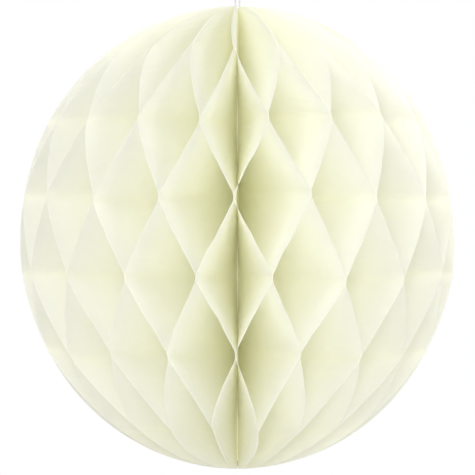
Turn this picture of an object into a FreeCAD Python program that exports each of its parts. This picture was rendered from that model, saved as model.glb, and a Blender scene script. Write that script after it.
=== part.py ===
import FreeCAD, Part
import math
import os

# A paper honeycomb ball: tissue half discs fanned out round a bound spine.
# The spine is the Z axis, with the origin at the ball's middle. The front is -Y, and the two
# card covers meet at the back, +Y. Azimuths count from the front towards +X. Millimetres.

# The open ball
ball_height = 200.0
ball_width = 188.0

# The tissue leaves, and the rows of glue that tie each one to its neighbours in turn
leaf_count = 36
tissue_thickness = 0.1
glue_row_count = 6
glue_row_height = 5.0
glue_gap = 0.06

# The card covers, and the adhesive strips between them
cover_thickness = 0.4
cover_setback = 0.5
cover_edge_clearance = 0.5
adhesive_thickness = 0.1
adhesive_strip_count = 4
adhesive_strip_height = 10.0
adhesive_strip_start = 20.0
adhesive_strip_margin = 8.0

# The thread, doubled through the spine and over a hook
thread_diameter = 0.7
strand_spacing = 1.7
hook_diameter = 5.0
hook_height = 44.0
knot_radius = 1.9
knot_cut = 1.1
knot_cover = 0.5

# The bound spine
bore_clearance = 0.1
spine_wall = 0.8
spine_top_inset = 1.5
spine_clearance = 0.4

# What follows from them
half_height = ball_height / 2
half_width = ball_width / 2
leaf_pitch = 360.0 / leaf_count
half_pitch = math.radians(leaf_pitch / 2)
row_pitch = ball_height / glue_row_count
seam_half = adhesive_thickness / 2
cover_face = seam_half + cover_thickness
bore_radius = (strand_spacing + thread_diameter) / 2 + bore_clearance
spine_radius = bore_radius + spine_wall
leaf_start = spine_radius + spine_clearance
spine_top = half_height - spine_top_inset
knot_top = knot_cover + knot_radius + knot_cut - half_height
past_leaf = (tissue_thickness + glue_gap) / 2
past_cover = cover_face + glue_gap / 2 + tissue_thickness / 2
cover_start = (past_leaf + past_cover) / (2 * math.sin(half_pitch)) + cover_edge_clearance

ORIGIN = FreeCAD.Vector(0, 0, 0)
UP = FreeCAD.Vector(0, 0, 1)


def half_disc(width, height, start):
    """The outline of a half disc on the XZ plane, from x = start outwards."""
    axes = [FreeCAD.Vector(0, 0, height), FreeCAD.Vector(width, 0, 0)]
    axes.sort(key=lambda axis: axis.Length, reverse=True)
    ellipse = Part.Ellipse(axes[0], axes[1], ORIGIN)
    disc = Part.Face(Part.Wire(ellipse.toShape()))
    kept = Part.makeBox(width, 2, 2 * height + 2, FreeCAD.Vector(start, -1, -height - 1))
    return disc.common(kept).Faces[0]


def half_disc_plate(width, height, start, low, high):
    """A flat half disc that fills y from low to high."""
    face = half_disc(width, height, start)
    face.translate(FreeCAD.Vector(0, low, 0))
    return face.extrude(FreeCAD.Vector(0, high - low, 0)).Solids[0]


def at_azimuth(shape, degrees):
    """Turns a shape that was made along +X round the spine to its azimuth."""
    shape.rotate(ORIGIN, UP, degrees - 90)
    return shape


def row_side(row, leaf):
    """Which neighbour a row of glue ties this leaf to: 1 for the next, -1 for the one before."""
    return -1 if (row + leaf) % 2 == 0 else 1


def zigzag(leaf):
    """The leaf's height and side at each fold: 1 and -1 are the neighbours it is glued to.

    Past the end rows the glued pairs stay together up to the poles.
    """
    folds = []
    for row in range(glue_row_count):
        middle = (row + 0.5) * row_pitch - half_height
        side = row_side(row, leaf)
        low = -half_height if row == 0 else middle - glue_row_height / 2
        high = half_height if row == glue_row_count - 1 else middle + glue_row_height / 2
        folds += [(low, side), (high, side)]
    return folds


def zigzag_section(leaf, x):
    """The leaf's closed section across x, between the two planes that it is glued up to."""
    after = past_cover if leaf == leaf_count else past_leaf
    before = past_cover if leaf == 1 else past_leaf
    high = x * math.tan(half_pitch) - after / math.cos(half_pitch)
    low = before / math.cos(half_pitch) - x * math.tan(half_pitch)
    middle = [(z, (high + low) / 2 + side * (high - low) / 2) for z, side in zigzag(leaf)]
    front = [FreeCAD.Vector(x, y + tissue_thickness / 2, z) for z, y in middle]
    back = [FreeCAD.Vector(x, y - tissue_thickness / 2, z) for z, y in reversed(middle)]
    return Part.makePolygon(front + back + front[:1])


def tissue_leaf(leaf):
    """One tissue half disc, bent to and fro between its neighbours. Leaf 1 starts at the seam."""
    inner = zigzag_section(leaf, leaf_start / 2)
    outer = zigzag_section(leaf, half_width + leaf_start)
    sheet = Part.makeLoft([inner, outer], True, True)
    reach = half_width * math.tan(half_pitch) + cover_face
    outline = half_disc_plate(half_width, half_height, leaf_start, -reach, reach)
    azimuth = (leaf - 0.5) * leaf_pitch - 180
    return at_azimuth(sheet.common(outline).Solids[0], azimuth)


def cover(side):
    """A card half disc beside the seam: side is 1 for the +X cover and -1 for the -X one."""
    faces = sorted([-side * seam_half, -side * cover_face])
    width = half_width - cover_setback
    height = half_height - cover_setback
    return at_azimuth(half_disc_plate(width, height, cover_start, faces[0], faces[1]), 180)


def adhesive_strips():
    """Strips across the seam, evenly spaced up the covers, each ending short of the round edge."""
    strips = []
    spacing = ball_height / adhesive_strip_count
    for number in range(adhesive_strip_count):
        middle = (number + 0.5) * spacing - half_height
        furthest = (abs(middle) + adhesive_strip_height / 2) / half_height
        end = half_width * math.sqrt(1 - furthest**2) - adhesive_strip_margin
        corner = FreeCAD.Vector(adhesive_strip_start, -seam_half, middle - adhesive_strip_height / 2)
        length = end - adhesive_strip_start
        strips.append(Part.makeBox(length, adhesive_thickness, adhesive_strip_height, corner))
    return at_azimuth(Part.makeCompound(strips), 180)


def spine_binding():
    """The roll of glued paper edges, open from end to end for the thread."""
    length = spine_top - knot_top
    bottom = FreeCAD.Vector(0, 0, knot_top)
    roll = Part.makeCylinder(spine_radius, length, bottom)
    return roll.cut(Part.makeCylinder(bore_radius, length, bottom))


def spine_thread():
    """The two strands inside the spine, from the knot to the upper pole."""
    length = half_height - knot_top
    sides = (-strand_spacing / 2, strand_spacing / 2)
    feet = [FreeCAD.Vector(x, 0, knot_top) for x in sides]
    return Part.makeCompound([Part.makeCylinder(thread_diameter / 2, length, foot) for foot in feet])


def bottom_knot():
    """A round knot, pulled flat against the lower end of the spine."""
    centre = FreeCAD.Vector(0, 0, knot_top - knot_cut)
    knot = Part.makeSphere(knot_radius, centre)
    size = 2 * knot_radius
    above = Part.makeBox(size, size, size, FreeCAD.Vector(-knot_radius, -knot_radius, knot_top))
    return knot.cut(above)


def hanging_loop():
    """The free thread: straight up from the pole, over the hook, and straight down again."""
    bend = (hook_diameter + thread_diameter) / 2
    hook = FreeCAD.Vector(0, 0, half_height + hook_height)
    foot = FreeCAD.Vector(-strand_spacing / 2, 0, half_height)
    across = hook - foot
    run = math.sqrt(across.Length**2 - bend**2)
    lean = math.asin(bend / across.Length) - math.atan2(across.x, across.z)
    left = foot + FreeCAD.Vector(-math.sin(lean), 0, math.cos(lean)) * run
    start = foot + (foot - left) * (thread_diameter / run)
    right = FreeCAD.Vector(-left.x, 0, left.z)
    end = FreeCAD.Vector(-start.x, 0, start.z)
    route = Part.Wire([
        Part.LineSegment(start, left).toShape(),
        Part.Arc(left, hook + UP * bend, right).toShape(),
        Part.LineSegment(right, end).toShape(),
    ])
    section = Part.Wire(Part.Circle(start, left - start, thread_diameter / 2).toShape())
    loop = route.makePipeShell([section], True, False)
    expected = math.pi * thread_diameter**2 / 4 * route.Length
    print(f"hanging_loop: route {route.Length:.1f}, bend {bend:.2f},", end=" ")
    print(f"volume {loop.Volume:.3f}, section times length {expected:.3f}")
    corner = FreeCAD.Vector(-hook_diameter, -hook_diameter, half_height)
    above = Part.makeBox(2 * hook_diameter, 2 * hook_diameter, 2 * hook_height, corner)
    return loop.common(above).Solids[0]


def save(name, shape):
    """Writes one node's solids."""
    shape.exportStep(f"parts/{name}.step")


os.makedirs("parts", exist_ok=True)
for number in range(1, leaf_count + 1):
    save(f"tissue_leaf_{number:02d}", tissue_leaf(number))
save("cover_left", cover(-1))
save("cover_right", cover(1))
save("adhesive_strips", adhesive_strips())
save("spine_binding", spine_binding())
save("spine_thread", spine_thread())
save("bottom_knot", bottom_knot())
save("hanging_loop", hanging_loop())
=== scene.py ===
import math

import bpy
import numpy as np
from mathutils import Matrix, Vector


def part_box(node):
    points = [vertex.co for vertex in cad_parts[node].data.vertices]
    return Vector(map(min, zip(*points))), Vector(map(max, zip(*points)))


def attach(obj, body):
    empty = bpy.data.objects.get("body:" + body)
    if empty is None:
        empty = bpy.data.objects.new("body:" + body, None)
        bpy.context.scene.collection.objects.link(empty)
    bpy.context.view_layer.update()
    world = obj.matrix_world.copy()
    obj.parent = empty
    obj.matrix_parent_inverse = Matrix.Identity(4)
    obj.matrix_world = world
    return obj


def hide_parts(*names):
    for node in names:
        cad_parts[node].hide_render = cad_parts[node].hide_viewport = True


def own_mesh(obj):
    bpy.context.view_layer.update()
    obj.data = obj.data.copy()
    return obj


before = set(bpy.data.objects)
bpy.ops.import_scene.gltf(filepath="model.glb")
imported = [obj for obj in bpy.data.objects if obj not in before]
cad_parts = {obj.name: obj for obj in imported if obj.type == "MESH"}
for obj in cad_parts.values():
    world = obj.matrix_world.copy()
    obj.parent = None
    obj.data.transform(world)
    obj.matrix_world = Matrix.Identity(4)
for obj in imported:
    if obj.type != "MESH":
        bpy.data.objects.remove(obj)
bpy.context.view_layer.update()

# ---- Tissue leaves ----
# Half discs of cream tissue, die-cut through the whole stack after rows of glue had tied each
# sheet to the next, half a cell over on every other sheet. Fanned round the spine, a leaf is
# pulled to and fro between its two neighbours, and its glued edges meet in the ball's nodes.

LEAF_COUNT = 36
ROW_COUNT = 6
GLUE_HEIGHT = 0.003
TISSUE = 0.00012
GLUE_GAP = 0.00012
CARD_GAP = 0.00005
COVER_SETBACK = 0.0005
BINDING_GAP = 0.0002
POLE_WIDTH = 0.0005
# Between its end row and the pole a glued pair parts a little, and its outer edge curls.
PARTING = math.radians(0.25)
CURL_WIDTH = 0.012
# The binding's glue has soaked this far into the tissue, and over this width the tissue is drawn
# lighter: painted light against the shade near the spine.
SOAKED_AND_LIGHTENED_WIDTH = 0.008
# The cut edge's waves, and the share of a bend that the tissue's stiffness smooths out.
EDGE_WAVE = 0.0005
EDGE_WAVE_LENGTHS = (0.031, 0.019, 0.011)
SMOOTHING = 0.06
# A leaf is drawn in this many steps of height, and at these shares of its width.
LEAF_STEPS = 181
LEAF_SHARES = np.append(np.linspace(0, 0.96, 33), [0.975, 0.99, 1.0])

half_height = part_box("spine_thread")[1].z
half_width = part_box("cover_left")[1].y + COVER_SETBACK
binding_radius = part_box("spine_binding")[1].x
card_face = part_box("cover_right")[1].x
leaf_start = binding_radius + BINDING_GAP
row_pitch = 2 * half_height / ROW_COUNT
half_pitch = math.pi / LEAF_COUNT

hand = np.random.default_rng(36)
# How far each glued node is off its even place, shared by the two leaves that meet in it.
node_turn = hand.normal(0, math.radians(0.35), (LEAF_COUNT + 1, ROW_COUNT)).clip(-0.011, 0.011)
node_lift = hand.normal(0, 0.001, (LEAF_COUNT + 1, ROW_COUNT)).clip(-0.002, 0.002)
# Past its end rows a glued pair leans to one side, and its cut edges curl over together.
end_lean = hand.normal(0, math.radians(0.7), (LEAF_COUNT + 1, 2)).clip(-0.018, 0.018)
end_curl = hand.uniform(0.0004, 0.0014, (LEAF_COUNT + 1, 2))
end_curl *= hand.choice((-1, 1), (LEAF_COUNT + 1, 2))
# At the front top the last node is low and to the left, and its pair curls left in a broad band.
front = LEAF_COUNT // 2
node_turn[front, -1] = -0.011
node_lift[front, -1] = -0.0015
end_lean[front, -1] = math.radians(0.1)
end_curl[front, -1] = -0.0012
# The end leaves are glued to the flat covers.
for table in (node_turn, node_lift, end_lean, end_curl):
    table[[0, -1]] = 0


def linear(hex_colour):
    """An sRGB hex colour as the linear RGBA that shaders take."""
    channels = [int(hex_colour[i:i + 2], 16) / 255 for i in (1, 3, 5)]
    return [c / 12.92 if c <= 0.04045 else ((c + 0.055) / 1.055) ** 2.4 for c in channels] + [1.0]


def add(tree, kind, inputs=(), **settings):
    """Adds one node: inputs maps a socket to its value, or to the socket that feeds it."""
    made = tree.nodes.new(kind)
    for name, value in settings.items():
        setattr(made, name, value)
    for socket, value in dict(inputs).items():
        if isinstance(value, bpy.types.NodeSocket):
            tree.links.new(value, made.inputs[socket])
        else:
            made.inputs[socket].default_value = value
    return made


def new_material(name):
    """An empty material and its node tree."""
    material = bpy.data.materials.new(name)
    material.use_nodes = True
    material.node_tree.nodes.clear()
    return material, material.node_tree


def cream_tissue():
    """Wood-pulp tissue, dyed cream in the pulp and pressed smooth: matt, cloudy where its fibres
    clump, creased a little crosswise, and so thin that light from behind glows through it."""
    material, tree = new_material("cream_wood_pulp_tissue")
    sheet = add(tree, "ShaderNodeUVMap", uv_map="sheet").outputs["UV"]
    # Fibre clumps are 4 to 8 mm across. The fibres are 0.2 mm, drawn at 0.8 mm so that they show.
    clumps = add(tree, "ShaderNodeTexNoise", {"Vector": sheet, "Scale": 1 / 0.006, "Detail": 3.0})
    fibres = add(tree, "ShaderNodeTexNoise", {"Vector": sheet, "Scale": 1 / 0.0008, "Detail": 2.0})
    pulp = add(tree, "ShaderNodeMix", {
        "Factor": clumps.outputs["Fac"], "A": linear("#fafaf6"), "B": linear("#fefefc"),
    }, data_type="RGBA").outputs["Result"]
    # Glue fills the tissue at its rows and near the spine, and there the tissue is drawn lighter:
    # painted light lifting the shade of the doubled rows and of the narrow wedge where the leaves
    # meet the spine.
    glue = add(tree, "ShaderNodeAttribute", attribute_name="glue_painted_light").outputs["Fac"]
    dyed = add(tree, "ShaderNodeMix", {
        "Factor": glue, "A": pulp, "B": linear("#fdfdf9"),
    }, data_type="RGBA").outputs["Result"]
    # Pull lines run out from the spine, 3 mm apart and ten times as long.
    along = add(tree, "ShaderNodeMapping", {"Vector": sheet, "Scale": (1 / 0.03, 1 / 0.003, 1)})
    pulls = add(tree, "ShaderNodeTexNoise", {"Vector": along.outputs["Vector"], "Scale": 1.0})
    creased = add(tree, "ShaderNodeBump", {
        "Height": pulls.outputs["Fac"], "Strength": 0.35, "Distance": 0.0006,
    }).outputs["Normal"]
    grained = add(tree, "ShaderNodeBump", {
        "Height": fibres.outputs["Fac"], "Normal": creased, "Strength": 0.2, "Distance": 0.0002,
    }).outputs["Normal"]
    face = add(tree, "ShaderNodeBsdfPrincipled", {
        "Base Color": dyed, "Roughness": 0.85, "Specular IOR Level": 0.2, "Normal": grained,
    })
    # A leaf is drawn with two faces: light is tinted at the first one, and the second passes it on.
    inside = add(tree, "ShaderNodeNewGeometry").outputs["Backfacing"]
    glow = add(tree, "ShaderNodeMix", {
        "Factor": clumps.outputs["Fac"], "A": linear("#fafaef"), "B": linear("#fdfdf7"),
    }, data_type="RGBA").outputs["Result"]
    tint = add(tree, "ShaderNodeMix", {
        "Factor": inside, "A": glow, "B": linear("#ffffff"),
    }, data_type="RGBA").outputs["Result"]
    through = add(tree, "ShaderNodeBsdfTranslucent", {"Color": tint, "Normal": grained})
    share = add(tree, "ShaderNodeMath", {0: inside, 1: 0.5}, operation="MAXIMUM").outputs["Value"]
    both = add(tree, "ShaderNodeMixShader", {
        0: share, 1: face.outputs["BSDF"], 2: through.outputs["BSDF"],
    })
    add(tree, "ShaderNodeOutputMaterial", {"Surface": both.outputs["Shader"]})
    return material


def row_side(row, leaf):
    """Which neighbour a row of glue ties this leaf to: 1 for the next, -1 for the one before."""
    return -1 if (row + leaf) % 2 == 0 else 1


def leaf_heights():
    """The heights at which a leaf is drawn, closer together towards the poles, where its last cut
    edge is half a millimetre wide."""
    spread = math.acos((leaf_start + POLE_WIDTH) / half_width)
    return half_height * np.sin(np.linspace(-spread, spread, LEAF_STEPS))


def zigzag(leaf, heights):
    """At each height, the leaf's turn from its middle plane, its side from -1 to 1, how much glue
    is there, how free it is to stray between two rows, and how far its edge curls past them."""
    bends = []
    glue = np.zeros_like(heights)
    for row in range(ROW_COUNT):
        side = row_side(row, leaf)
        column = leaf if side > 0 else leaf - 1
        middle = (row + 0.5) * row_pitch - half_height + node_lift[column, row]
        low = -half_height if row == 0 else middle - GLUE_HEIGHT / 2
        high = half_height if row == ROW_COUNT - 1 else middle + GLUE_HEIGHT / 2
        angle = side * half_pitch + node_turn[column, row]
        bends += [(low, angle, side), (high, angle, side)]
        # The glue rows also serve as the mask for painted light, which draws the tissue lighter
        # there.
        glue += np.exp(-((heights - middle) / (0.6 * GLUE_HEIGHT)) ** 4)
    at, angles, sides = np.array(bends).T
    turn = np.interp(heights, at, angles)
    side = np.interp(heights, at, sides)
    free = np.zeros_like(heights)
    for low, high in zip(at[1:-1:2], at[2::2]):
        share = ((heights - low) / (high - low)).clip(0, 1)
        free += np.sin(math.pi * share) ** 2
        # The tissue is a little stiff, so it leaves the glue in a small curve.
        bend = np.interp(high, at, angles) - np.interp(low, at, angles)
        turn += SMOOTHING * (np.sin(2 * math.pi * share) / -2 / math.pi) * bend
    curl = np.zeros_like(heights)
    for end, pole, row_edge in ((0, -half_height, at[1]), (-1, half_height, at[-2])):
        share = ((heights - row_edge) / (pole - row_edge)).clip(0, 1)
        column = leaf if sides[end] > 0 else leaf - 1
        turn += end_lean[column, end] * np.sin(math.pi * share)
        turn -= sides[end] * PARTING * np.sin(math.pi * share) ** 2
        curl += end_curl[column, end] * np.sqrt(np.sin(math.pi * share).clip(0))
    return turn, side, glue, free, curl


def leaf_surface(leaf):
    """The leaf's middle surface along +X, row by row upwards, with its flat pattern and glue."""
    heights = leaf_heights()
    turn, side, glue, free, curl = zigzag(leaf, heights)
    touching = (TISSUE + GLUE_GAP) / 2
    beside_card = card_face + CARD_GAP + TISSUE / 2
    after = beside_card if leaf == LEAF_COUNT else touching
    before = beside_card if leaf == 1 else touching
    drawn_in = np.where(side > 0, side * after, side * before)
    reach = half_width * np.sqrt(1 - (heights / half_height) ** 2)
    x = leaf_start + LEAF_SHARES[None, :] * (reach - leaf_start)[:, None]
    # The cut edge, held by nothing between its glued places, waves by half a millimetre.
    swing = hand.uniform(0, 2 * math.pi, 3)
    waves = sum(np.sin(heights * 2 * math.pi / length + start)
                for length, start in zip(EDGE_WAVE_LENGTHS, swing)) / len(EDGE_WAVE_LENGTHS)
    loose = (x / half_width) ** 3 * (EDGE_WAVE * free * waves)[:, None]
    curled = (1 - (reach[:, None] - x) / CURL_WIDTH).clip(0, 1) ** 2 * curl[:, None]
    y = x * np.tan(turn)[:, None] - drawn_in[:, None] + loose + curled
    z = np.broadcast_to(heights[:, None], x.shape)
    rise = np.hypot(np.diff(z, axis=0), np.diff(y, axis=0))
    length = np.vstack([np.zeros((1, x.shape[1])), np.cumsum(rise, axis=0)])
    length -= length[len(length) // 2]
    # Glue is in the tissue at its rows, and where it has soaked in from the binding. This mask
    # paints light there, drawing the tissue lighter against the shade of the doubled rows and of
    # the wedge at the spine.
    soaked = np.exp(-((x - leaf_start) / SOAKED_AND_LIGHTENED_WIDTH) ** 2)
    return (np.stack([x, y, z], axis=2), np.stack([x, length], axis=2),
            np.maximum(glue[:, None], soaked))


def turned(points, azimuth):
    """Points made along +X, turned round the spine to an azimuth that counts from the front."""
    angle = azimuth - math.pi / 2
    x, y, z = points[..., 0], points[..., 1], points[..., 2]
    return np.stack([x * math.cos(angle) - y * math.sin(angle),
                     x * math.sin(angle) + y * math.cos(angle), z], axis=-1)


def shell(name, upper, lower, pattern, material):
    """A closed sheet between two grids of points, with its flat pattern as its UV map."""
    rows, columns = upper.shape[:2]
    count = rows * columns
    index = np.arange(count).reshape(rows, columns)
    a, b = index[:-1, :-1].ravel(), index[:-1, 1:].ravel()
    c, d = index[1:, 1:].ravel(), index[1:, :-1].ravel()
    front = np.stack([a, d, c, b], axis=1)
    back = np.stack([a, b, c, d], axis=1) + count
    edge = np.concatenate([index[0, :-1], index[:-1, -1], index[-1, :0:-1], index[:0:-1, 0]])
    onward = np.roll(edge, -1)
    rim = np.stack([edge, onward, onward + count, edge + count], axis=1)
    points = np.concatenate([upper.reshape(-1, 3), lower.reshape(-1, 3)])
    mesh = bpy.data.meshes.new(name)
    mesh.from_pydata(points.tolist(), [], np.concatenate([front, back, rim]).tolist())
    corners = np.empty(len(mesh.loops), dtype=np.int32)
    mesh.loops.foreach_get("vertex_index", corners)
    flat = np.concatenate([pattern.reshape(-1, 2)] * 2)[corners]
    mesh.uv_layers.new(name="sheet").data.foreach_set("uv", flat.ravel())
    mesh.polygons.foreach_set("use_smooth", np.ones(len(mesh.polygons), dtype=bool))
    mesh.set_sharp_from_angle(angle=math.radians(50))
    mesh.materials.append(material)
    piece = bpy.data.objects.new(name, mesh)
    bpy.context.scene.collection.objects.link(piece)
    return piece


tissue = cream_tissue()
for leaf in range(1, LEAF_COUNT + 1):
    body = f"leaf_{leaf:02d}"
    azimuth = (leaf - 0.5) * 2 * half_pitch - math.pi
    middle, pattern, glue = leaf_surface(leaf)
    lift = np.array([0, TISSUE / 2, 0])
    piece = shell(body, turned(middle + lift, azimuth), turned(middle - lift, azimuth),
                  pattern, tissue)
    # The glue mask is stored on the leaf, where it draws the tissue lighter as painted light.
    glue_painted_light = piece.data.attributes.new("glue_painted_light", "FLOAT", "POINT")
    glue_painted_light.data.foreach_set("value", np.tile(glue.ravel(), 2))
    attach(piece, body)
    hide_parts(f"tissue_leaf_{leaf:02d}")
    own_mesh(piece)

# ---- Card covers ----
# The first and last sheets of the stack are half discs of uncoated cream card, die-cut a little
# short of the tissue. They stand back to back in the open ball's seam, and fold to be its faces.

CARD_EDGE = 0.00012
CARD_POLE_WIDTH = 0.0005
CARD_ROWS = 97
CARD_COLUMNS = 25


def uncoated_card():
    """Uncoated pulp board, calendered and die-cut: matt, with a fine felt mark on its faces and a
    few darker fibres, so that it looks denser and warmer than the tissue."""
    material, tree = new_material("uncoated_cream_card")
    sheet = add(tree, "ShaderNodeUVMap", uv_map="sheet").outputs["UV"]
    # The felt mark is 0.6 mm across, drawn at 1 mm so that it shows, and flecks are 3 mm long.
    felt = add(tree, "ShaderNodeTexNoise", {"Vector": sheet, "Scale": 1 / 0.001, "Detail": 4.0})
    laid = add(tree, "ShaderNodeMapping", {"Vector": sheet, "Scale": (1 / 0.0006, 1 / 0.003, 1)})
    flecks = add(tree, "ShaderNodeTexNoise", {"Vector": laid.outputs["Vector"], "Scale": 1.0})
    fleck = add(tree, "ShaderNodeMapRange", {
        "Value": flecks.outputs["Fac"], "From Min": 0.66, "From Max": 0.74, "To Max": 0.5,
    }).outputs["Result"]
    board = add(tree, "ShaderNodeMix", {
        "Factor": felt.outputs["Fac"], "A": linear("#f2edd9"), "B": linear("#faf6e6"),
    }, data_type="RGBA").outputs["Result"]
    flecked = add(tree, "ShaderNodeMix", {
        "Factor": fleck, "A": board, "B": linear("#ddd2b0"),
    }, data_type="RGBA").outputs["Result"]
    bump = add(tree, "ShaderNodeBump", {
        "Height": felt.outputs["Fac"], "Strength": 0.3, "Distance": 0.0002,
    }).outputs["Normal"]
    face = add(tree, "ShaderNodeBsdfPrincipled", {
        "Base Color": flecked, "Roughness": 0.8, "Specular IOR Level": 0.3, "Normal": bump,
    })
    add(tree, "ShaderNodeOutputMaterial", {"Surface": face.outputs["BSDF"]})
    return material


card = uncoated_card()
for name in ("cover_left", "cover_right"):
    low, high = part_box(name)
    spread = math.acos((low.y + CARD_POLE_WIDTH) / high.y)
    heights = high.z * np.sin(np.linspace(-1, 1, CARD_ROWS) * spread)
    reach = high.y * np.sqrt(1 - (heights / high.z) ** 2)
    # The cut edge is pressed round by the die, over the last tenth of a millimetre.
    inwards = np.array([0.0, 0.3, 0.6, 1.0]) * CARD_EDGE
    pressed = np.array([0.45, 0.75, 0.92, 1.0])
    shares = np.linspace(0, 1, CARD_COLUMNS)
    across = shares[None, :] * (reach - inwards[-1] - low.y)[:, None] + low.y
    y = np.hstack([across, reach[:, None] - inwards[::-1][None, 1:]])
    half = np.append(np.ones(CARD_COLUMNS), pressed[::-1][1:]) * (high.x - low.x) / 2
    z = np.broadcast_to(heights[:, None], y.shape)
    centre = np.full_like(y, (low.x + high.x) / 2)
    piece = shell(name + "_card", np.stack([centre - half, y, z], axis=2),
                  np.stack([centre + half, y, z], axis=2), np.stack([y, z], axis=2), card)
    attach(piece, name)
    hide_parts(name)

# ---- Adhesive strips ----
# Four strips of double-sided film across one cover hold the open ball together. Each is a clear
# film with a rubbery glue on both sides, cut from a roll by a blade that leaves square ends.

STRIP_COUNT = 4
STRIP_HEIGHT = 0.010
STRIP_MARGIN = 0.008
STRIP_CORNER = 0.0006


def clear_film():
    """Polypropylene film coated on both sides with rubber glue: nearly clear, so it takes the cream
    of the card, faintly milky, and glossy with a slight orange-peel from the coating."""
    material, tree = new_material("double_sided_clear_film")
    place = add(tree, "ShaderNodeTexCoord").outputs["Object"]
    # The coating's orange-peel has a 1.5 mm grain.
    peel = add(tree, "ShaderNodeTexNoise", {"Vector": place, "Scale": 1 / 0.0015, "Detail": 2.0})
    milky = add(tree, "ShaderNodeMix", {
        "Factor": peel.outputs["Fac"], "A": linear("#f3f0e2"), "B": linear("#fbf9f0"),
    }, data_type="RGBA").outputs["Result"]
    gloss = add(tree, "ShaderNodeMapRange", {
        "Value": peel.outputs["Fac"], "To Min": 0.12, "To Max": 0.3,
    }).outputs["Result"]
    bump = add(tree, "ShaderNodeBump", {
        "Height": peel.outputs["Fac"], "Strength": 0.2, "Distance": 0.0002,
    }).outputs["Normal"]
    face = add(tree, "ShaderNodeBsdfPrincipled", {
        "Base Color": milky, "Roughness": gloss, "IOR": 1.49, "Normal": bump,
    })
    add(tree, "ShaderNodeOutputMaterial", {"Surface": face.outputs["BSDF"]})
    return material


film = clear_film()
low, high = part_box("adhesive_strips")
# Corners are rounded where the glue has pulled the film in.
steps = np.linspace(0, math.pi / 2, 5)
straight = STRIP_HEIGHT / 2 - STRIP_CORNER
rise = np.concatenate([-STRIP_HEIGHT / 2 + STRIP_CORNER * (1 - np.sin(steps[::-1])),
                       np.linspace(-1, 1, 9)[1:-1] * straight,
                       STRIP_HEIGHT / 2 - STRIP_CORNER * (1 - np.sin(steps))])
pulled = (np.abs(rise) - straight).clip(0, STRIP_CORNER)
inset = STRIP_CORNER - np.sqrt(STRIP_CORNER ** 2 - pulled ** 2)
share = np.linspace(0, 1, 33)[None, :]
for number in range(STRIP_COUNT):
    middle = (number + 0.5) * 2 * half_height / STRIP_COUNT - half_height
    furthest = (abs(middle) + STRIP_HEIGHT / 2) / half_height
    end = half_width * math.sqrt(1 - furthest ** 2) - STRIP_MARGIN
    y = (low.y + inset)[:, None] * (1 - share) + (end - inset)[:, None] * share
    z = np.broadcast_to(middle + rise[:, None], y.shape)
    left = np.stack([np.full_like(y, low.x), y, z], axis=2)
    right = np.stack([np.full_like(y, high.x), y, z], axis=2)
    piece = shell(f"adhesive_strip_{number + 1}", left, right, np.stack([y, z], axis=2), film)
    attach(piece, "cover_right")
    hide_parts("adhesive_strips")

# ---- Spine binding ----
# The straight edges of all the sheets, brushed with white glue and rolled tight round the
# thread. The glue sets them into a stiff ribbed tube, with one rib for each leaf.

RIB_DEPTH = 0.00025
BINDING_WALL = 0.0008
POINTS_PER_RIB = 8


def glued_paper():
    """Tissue edges soaked in white glue and dried: stiff, a little warmer than the dry tissue, with
    a half-gloss skin where the glue stands on the paper."""
    material, tree = new_material("glue_soaked_tissue_edges")
    place = add(tree, "ShaderNodeTexCoord").outputs["Object"]
    # Glue runs along the roll in streaks about 0.7 mm wide and 8 mm long.
    runs = add(tree, "ShaderNodeMapping", {
        "Vector": place, "Scale": (1 / 0.0007, 1 / 0.0007, 1 / 0.008),
    })
    streaks = add(tree, "ShaderNodeTexNoise", {"Vector": runs.outputs["Vector"], "Scale": 1.0})
    soaked = add(tree, "ShaderNodeMix", {
        "Factor": streaks.outputs["Fac"], "A": linear("#f9f7ea"), "B": linear("#fefdf5"),
    }, data_type="RGBA").outputs["Result"]
    skin = add(tree, "ShaderNodeMapRange", {
        "Value": streaks.outputs["Fac"], "To Min": 0.4, "To Max": 0.75,
    }).outputs["Result"]
    bump = add(tree, "ShaderNodeBump", {
        "Height": streaks.outputs["Fac"], "Strength": 0.4, "Distance": 0.0002,
    }).outputs["Normal"]
    face = add(tree, "ShaderNodeBsdfPrincipled", {
        "Base Color": soaked, "Roughness": skin, "Normal": bump,
    })
    add(tree, "ShaderNodeOutputMaterial", {"Surface": face.outputs["BSDF"]})
    return material


low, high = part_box("spine_binding")
round_spine = np.linspace(0, 2 * math.pi, POINTS_PER_RIB * LEAF_COUNT, endpoint=False)
ribs = binding_radius - RIB_DEPTH * (0.5 - 0.5 * np.cos(LEAF_COUNT * round_spine))
bore = np.full_like(ribs, binding_radius - BINDING_WALL)
along = np.linspace(low.z, high.z, 40)
rings = [(bore, low.z), (ribs - RIB_DEPTH, low.z)] + [(ribs, z) for z in along[1:-1]]
rings += [(ribs - RIB_DEPTH, high.z), (bore, high.z)] + [(bore, z) for z in along[-2:0:-1]]
count = len(round_spine)
points = [(r * math.cos(a), r * math.sin(a), z)
          for ring, z in rings for r, a in zip(ring, round_spine)]
faces = []
for ring in range(len(rings)):
    here, there = ring * count, (ring + 1) % len(rings) * count
    faces += [(here + i, here + (i + 1) % count, there + (i + 1) % count, there + i)
              for i in range(count)]
mesh = bpy.data.meshes.new("spine_roll")
mesh.from_pydata(points, [], faces)
mesh.polygons.foreach_set("use_smooth", np.ones(len(mesh.polygons), dtype=bool))
mesh.set_sharp_from_angle(angle=math.radians(45))
mesh.materials.append(glued_paper())
roll = bpy.data.objects.new("spine_roll", mesh)
bpy.context.scene.collection.objects.link(roll)
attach(roll, "spine")
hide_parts("spine_binding")

# ---- Thread ----
# One length of two-ply cotton thread, doubled: it comes up through the spine as two strands, goes
# over the hook that the ball hangs from, and is knotted below the spine to carry the ball.

THREAD = 0.0007
# The strands begin to bend in this far below the hook's top, this far from its middle.
HOOK_DEPTH = 0.0045
HOOK_STRAND = 0.0026
# The route's two highest points are this far from the middle, and this much above the thread.
HOOK_CORNER = 0.0029
CURVE_DROP = 0.0004


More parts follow.
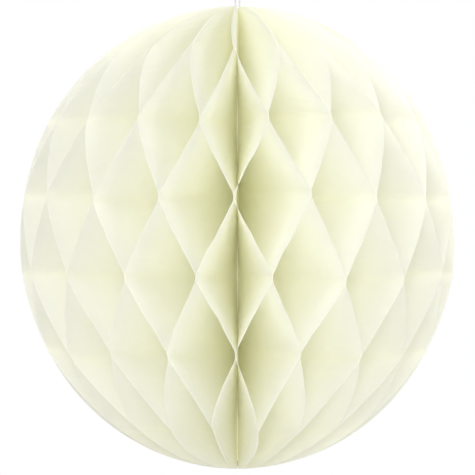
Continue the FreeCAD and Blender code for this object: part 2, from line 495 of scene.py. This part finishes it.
def cotton_thread():
    """Mercerised two-ply cotton, bleached to a cool white: its plies show as slanting ridges with
    a soft sheen, and short hairs blur its outline."""
    material, tree = new_material("bleached_twisted_cotton")
    place = add(tree, "ShaderNodeTexCoord").outputs["Object"]
    # A ply crosses the thread every 1.6 mm, at a slant.
    slant = add(tree, "ShaderNodeMapping", {
        "Vector": place, "Rotation": (0, math.radians(32), 0), "Scale": (1, 1, 1 / 0.0016),
    })
    plies = add(tree, "ShaderNodeTexWave", {
        "Vector": slant.outputs["Vector"], "Scale": math.pi / 10, "Distortion": 0.4,
    }, bands_direction="Z")
    # The thread is drawn darker where the ply bump is low, in the grooves between the plies:
    # painted shade.
    painted_ply_groove_shade = add(tree, "ShaderNodeMix", {
        "Factor": plies.outputs["Fac"], "A": linear("#d2d1dc"), "B": linear("#dddce6"),
    }, data_type="RGBA").outputs["Result"]
    bump = add(tree, "ShaderNodeBump", {
        "Height": plies.outputs["Fac"], "Strength": 0.3, "Distance": 0.0001,
    }).outputs["Normal"]
    face = add(tree, "ShaderNodeBsdfPrincipled", {
        "Base Color": painted_ply_groove_shade, "Roughness": 0.7, "Sheen Weight": 0.25, "Sheen Roughness": 0.4,
        "Normal": bump,
    })
    add(tree, "ShaderNodeOutputMaterial", {"Surface": face.outputs["BSDF"]})
    return material


thread = cotton_thread()
for slot in bpy.data.objects["spine_thread"].material_slots:
    slot.material = thread

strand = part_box("spine_thread")[1].x - THREAD / 2
hook_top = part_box("hanging_loop")[1].z
over = hook_top - THREAD / 2 + CURVE_DROP
beside = hook_top - HOOK_DEPTH
# Straight up from the pole, round the hook with a point at each side of its top, and down again.
route = [(-strand, 0, half_height), (-HOOK_STRAND, 0, beside), (-HOOK_CORNER, 0, over),
         (HOOK_CORNER, 0, over), (HOOK_STRAND, 0, beside), (strand, 0, half_height)]
curve = bpy.data.curves.new("hanging_thread", "CURVE")
curve.dimensions = "3D"
spline = curve.splines.new("NURBS")
spline.points.add(len(route) - 1)
for point, at in zip(spline.points, route):
    point.co = (*at, 1)
spline.order_u = 3
spline.use_endpoint_u = True
curve.bevel_depth = THREAD / 2
curve.bevel_resolution = 4
curve.resolution_u = 24
curve.use_fill_caps = True
curve.materials.append(thread)
loop = bpy.data.objects.new("hanging_thread", curve)
bpy.context.scene.collection.objects.link(loop)
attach(loop, "spine")
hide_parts("hanging_loop")

# ---- Knot ----
# An overhand knot in the doubled thread, pulled up tight against the lower end of the spine, with
# its two ends cut off short beside it.

KNOT_STRAND = 0.00042
TUBE_SIDES = 12
low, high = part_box("bottom_knot")
knot_middle = (low.z + high.z) / 2
knot_reach = high.x - KNOT_STRAND
knot_rise = (high.z - low.z) / 2 - KNOT_STRAND


def tube(path, radius, closed):
    """The points and faces of a round tube along a path, which is nowhere quite upright."""
    path = np.array(path)
    ahead = np.roll(path, -1, axis=0) - np.roll(path, 1, axis=0)
    if not closed:
        ahead[0], ahead[-1] = path[1] - path[0], path[-1] - path[-2]
    ahead /= np.linalg.norm(ahead, axis=1)[:, None]
    side = np.cross(ahead, (0, 0.2, 1.0))
    side /= np.linalg.norm(side, axis=1)[:, None]
    up = np.cross(side, ahead)
    turns = np.linspace(0, 2 * math.pi, TUBE_SIDES, endpoint=False)[None, :, None]
    ring = np.cos(turns) * side[:, None] + np.sin(turns) * up[:, None]
    points = (path[:, None] + radius * ring).reshape(-1, 3)
    faces = []
    for row in range(len(path) if closed else len(path) - 1):
        here, there = row * TUBE_SIDES, (row + 1) % len(path) * TUBE_SIDES
        faces += [(here + i, here + (i + 1) % TUBE_SIDES,
                   there + (i + 1) % TUBE_SIDES, there + i) for i in range(TUBE_SIDES)]
    if not closed:
        last = (len(path) - 1) * TUBE_SIDES
        faces += [tuple(range(TUBE_SIDES))[::-1], tuple(range(last, last + TUBE_SIDES))]
    return points.tolist(), faces


turns = np.linspace(0, 2 * math.pi, 96, endpoint=False)
overhand = np.stack([
    knot_reach * (np.sin(turns) + 2 * np.sin(2 * turns)) / 3,
    knot_reach * (np.cos(turns) - 2 * np.cos(2 * turns)) / 3,
    knot_middle - knot_rise * np.sin(3 * turns),
], axis=1)
points, faces = tube(overhand, KNOT_STRAND, True)
for way in (-1, 1):
    bend = np.linspace(0, 1, 9)
    cut_end = np.stack([way * (0.0005 + 0.0011 * bend), 0.0004 * way * bend,
                        knot_middle - 0.0002 - 0.0011 * bend ** 1.5], axis=1)
    more, more_faces = tube(cut_end, THREAD / 2, False)
    faces += [tuple(i + len(points) for i in face) for face in more_faces]
    points += more
mesh = bpy.data.meshes.new("overhand_knot")
mesh.from_pydata(points, [], faces)
mesh.polygons.foreach_set("use_smooth", np.ones(len(mesh.polygons), dtype=bool))
mesh.set_sharp_from_angle(angle=math.radians(60))
mesh.materials.append(thread)
knot = bpy.data.objects.new("overhand_knot", mesh)
bpy.context.scene.collection.objects.link(knot)
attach(knot, "spine")
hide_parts("bottom_knot")

# ---- Studio ----
# A plain pale floor some way below the hanging ball and a white surround, with soft lights from
# the upper left, the front, the right and behind, and a long lens level with the ball's middle.

FLOOR_BELOW = 0.3
FLOOR_RADIUS = 1.2
CAMERA_DISTANCE = 2.2
CAMERA_AZIMUTH = math.radians(0.8)
PICTURE_WIDTH = 0.2056
SURROUND_LIGHT = 0.55


def matt_floor():
    """Matt white paint, rolled: plain and pale, with a faint 20 mm cloudiness from the roller."""
    material, tree = new_material("rolled_matt_white_paint")
    place = add(tree, "ShaderNodeTexCoord").outputs["Object"]
    clouds = add(tree, "ShaderNodeTexNoise", {"Vector": place, "Scale": 1 / 0.02})
    paint = add(tree, "ShaderNodeMix", {
        "Factor": clouds.outputs["Fac"], "A": linear("#deddda"), "B": linear("#e4e3e0"),
    }, data_type="RGBA").outputs["Result"]
    face = add(tree, "ShaderNodeBsdfPrincipled", {"Base Color": paint, "Roughness": 0.9})
    add(tree, "ShaderNodeOutputMaterial", {"Surface": face.outputs["BSDF"]})
    return material


angles = np.linspace(0, 2 * math.pi, 128, endpoint=False)
mesh = bpy.data.meshes.new("floor")
mesh.from_pydata([(FLOOR_RADIUS * math.cos(a), FLOOR_RADIUS * math.sin(a), -FLOOR_BELOW)
                  for a in angles], [], [tuple(range(len(angles)))])
mesh.materials.append(matt_floor())
floor = bpy.data.objects.new("floor", mesh)
bpy.context.scene.collection.objects.link(floor)

camera = bpy.data.objects.new("camera", bpy.data.cameras.new("camera"))
bpy.context.scene.collection.objects.link(camera)
bpy.context.scene.camera = camera
camera.location = (CAMERA_DISTANCE * math.sin(CAMERA_AZIMUTH),
                   -CAMERA_DISTANCE * math.cos(CAMERA_AZIMUTH), 0)
camera.rotation_euler = (math.pi / 2, 0, CAMERA_AZIMUTH)
camera.data.lens = camera.data.sensor_width * CAMERA_DISTANCE / PICTURE_WIDTH


def soft_light(name, place, width, power):
    """A round softbox that faces the ball."""
    lamp = bpy.data.lights.new(name, "AREA")
    lamp.shape = "DISK"
    lamp.size = width
    lamp.energy = power
    lamp.color = linear("#fffffa")[:3]
    held = bpy.data.objects.new(name, lamp)
    held.location = place
    held.rotation_euler = (-Vector(place)).to_track_quat("-Z", "Y").to_euler()
    bpy.context.scene.collection.objects.link(held)


soft_light("upper_left_softbox", (-0.8, -1.4, 1.5), 0.9, 13.0)
soft_light("front_softbox", (-0.1, -2.5, 0.2), 0.7, 18.5)
soft_light("right_softbox", (1.5, -1.3, 0.8), 1.0, 11.0)
soft_light("rear_softbox", (0.5, 1.9, 1.0), 1.4, 21.0)

surround = bpy.data.worlds.new("white_surround")
surround.use_nodes = True
surround.node_tree.nodes.clear()
# The surround is plain white to look at, and its share of the light is lower than the lamps'.
seen = add(surround.node_tree, "ShaderNodeLightPath").outputs["Is Camera Ray"]
strength = add(surround.node_tree, "ShaderNodeMapRange", {
    "Value": seen, "To Min": SURROUND_LIGHT, "To Max": 1.0,
}).outputs["Result"]
white = add(surround.node_tree, "ShaderNodeBackground", {
    "Color": linear("#ffffff"), "Strength": strength,
})
add(surround.node_tree, "ShaderNodeOutputWorld", {"Surface": white.outputs["Background"]})
bpy.context.scene.world = surround
bpy.context.scene.view_settings.view_transform = "Standard"
# Light crosses many leaves before it leaves the ball.
bpy.context.scene.cycles.max_bounces = 64
bpy.context.scene.cycles.diffuse_bounces = 32
bpy.context.scene.cycles.transmission_bounces = 64
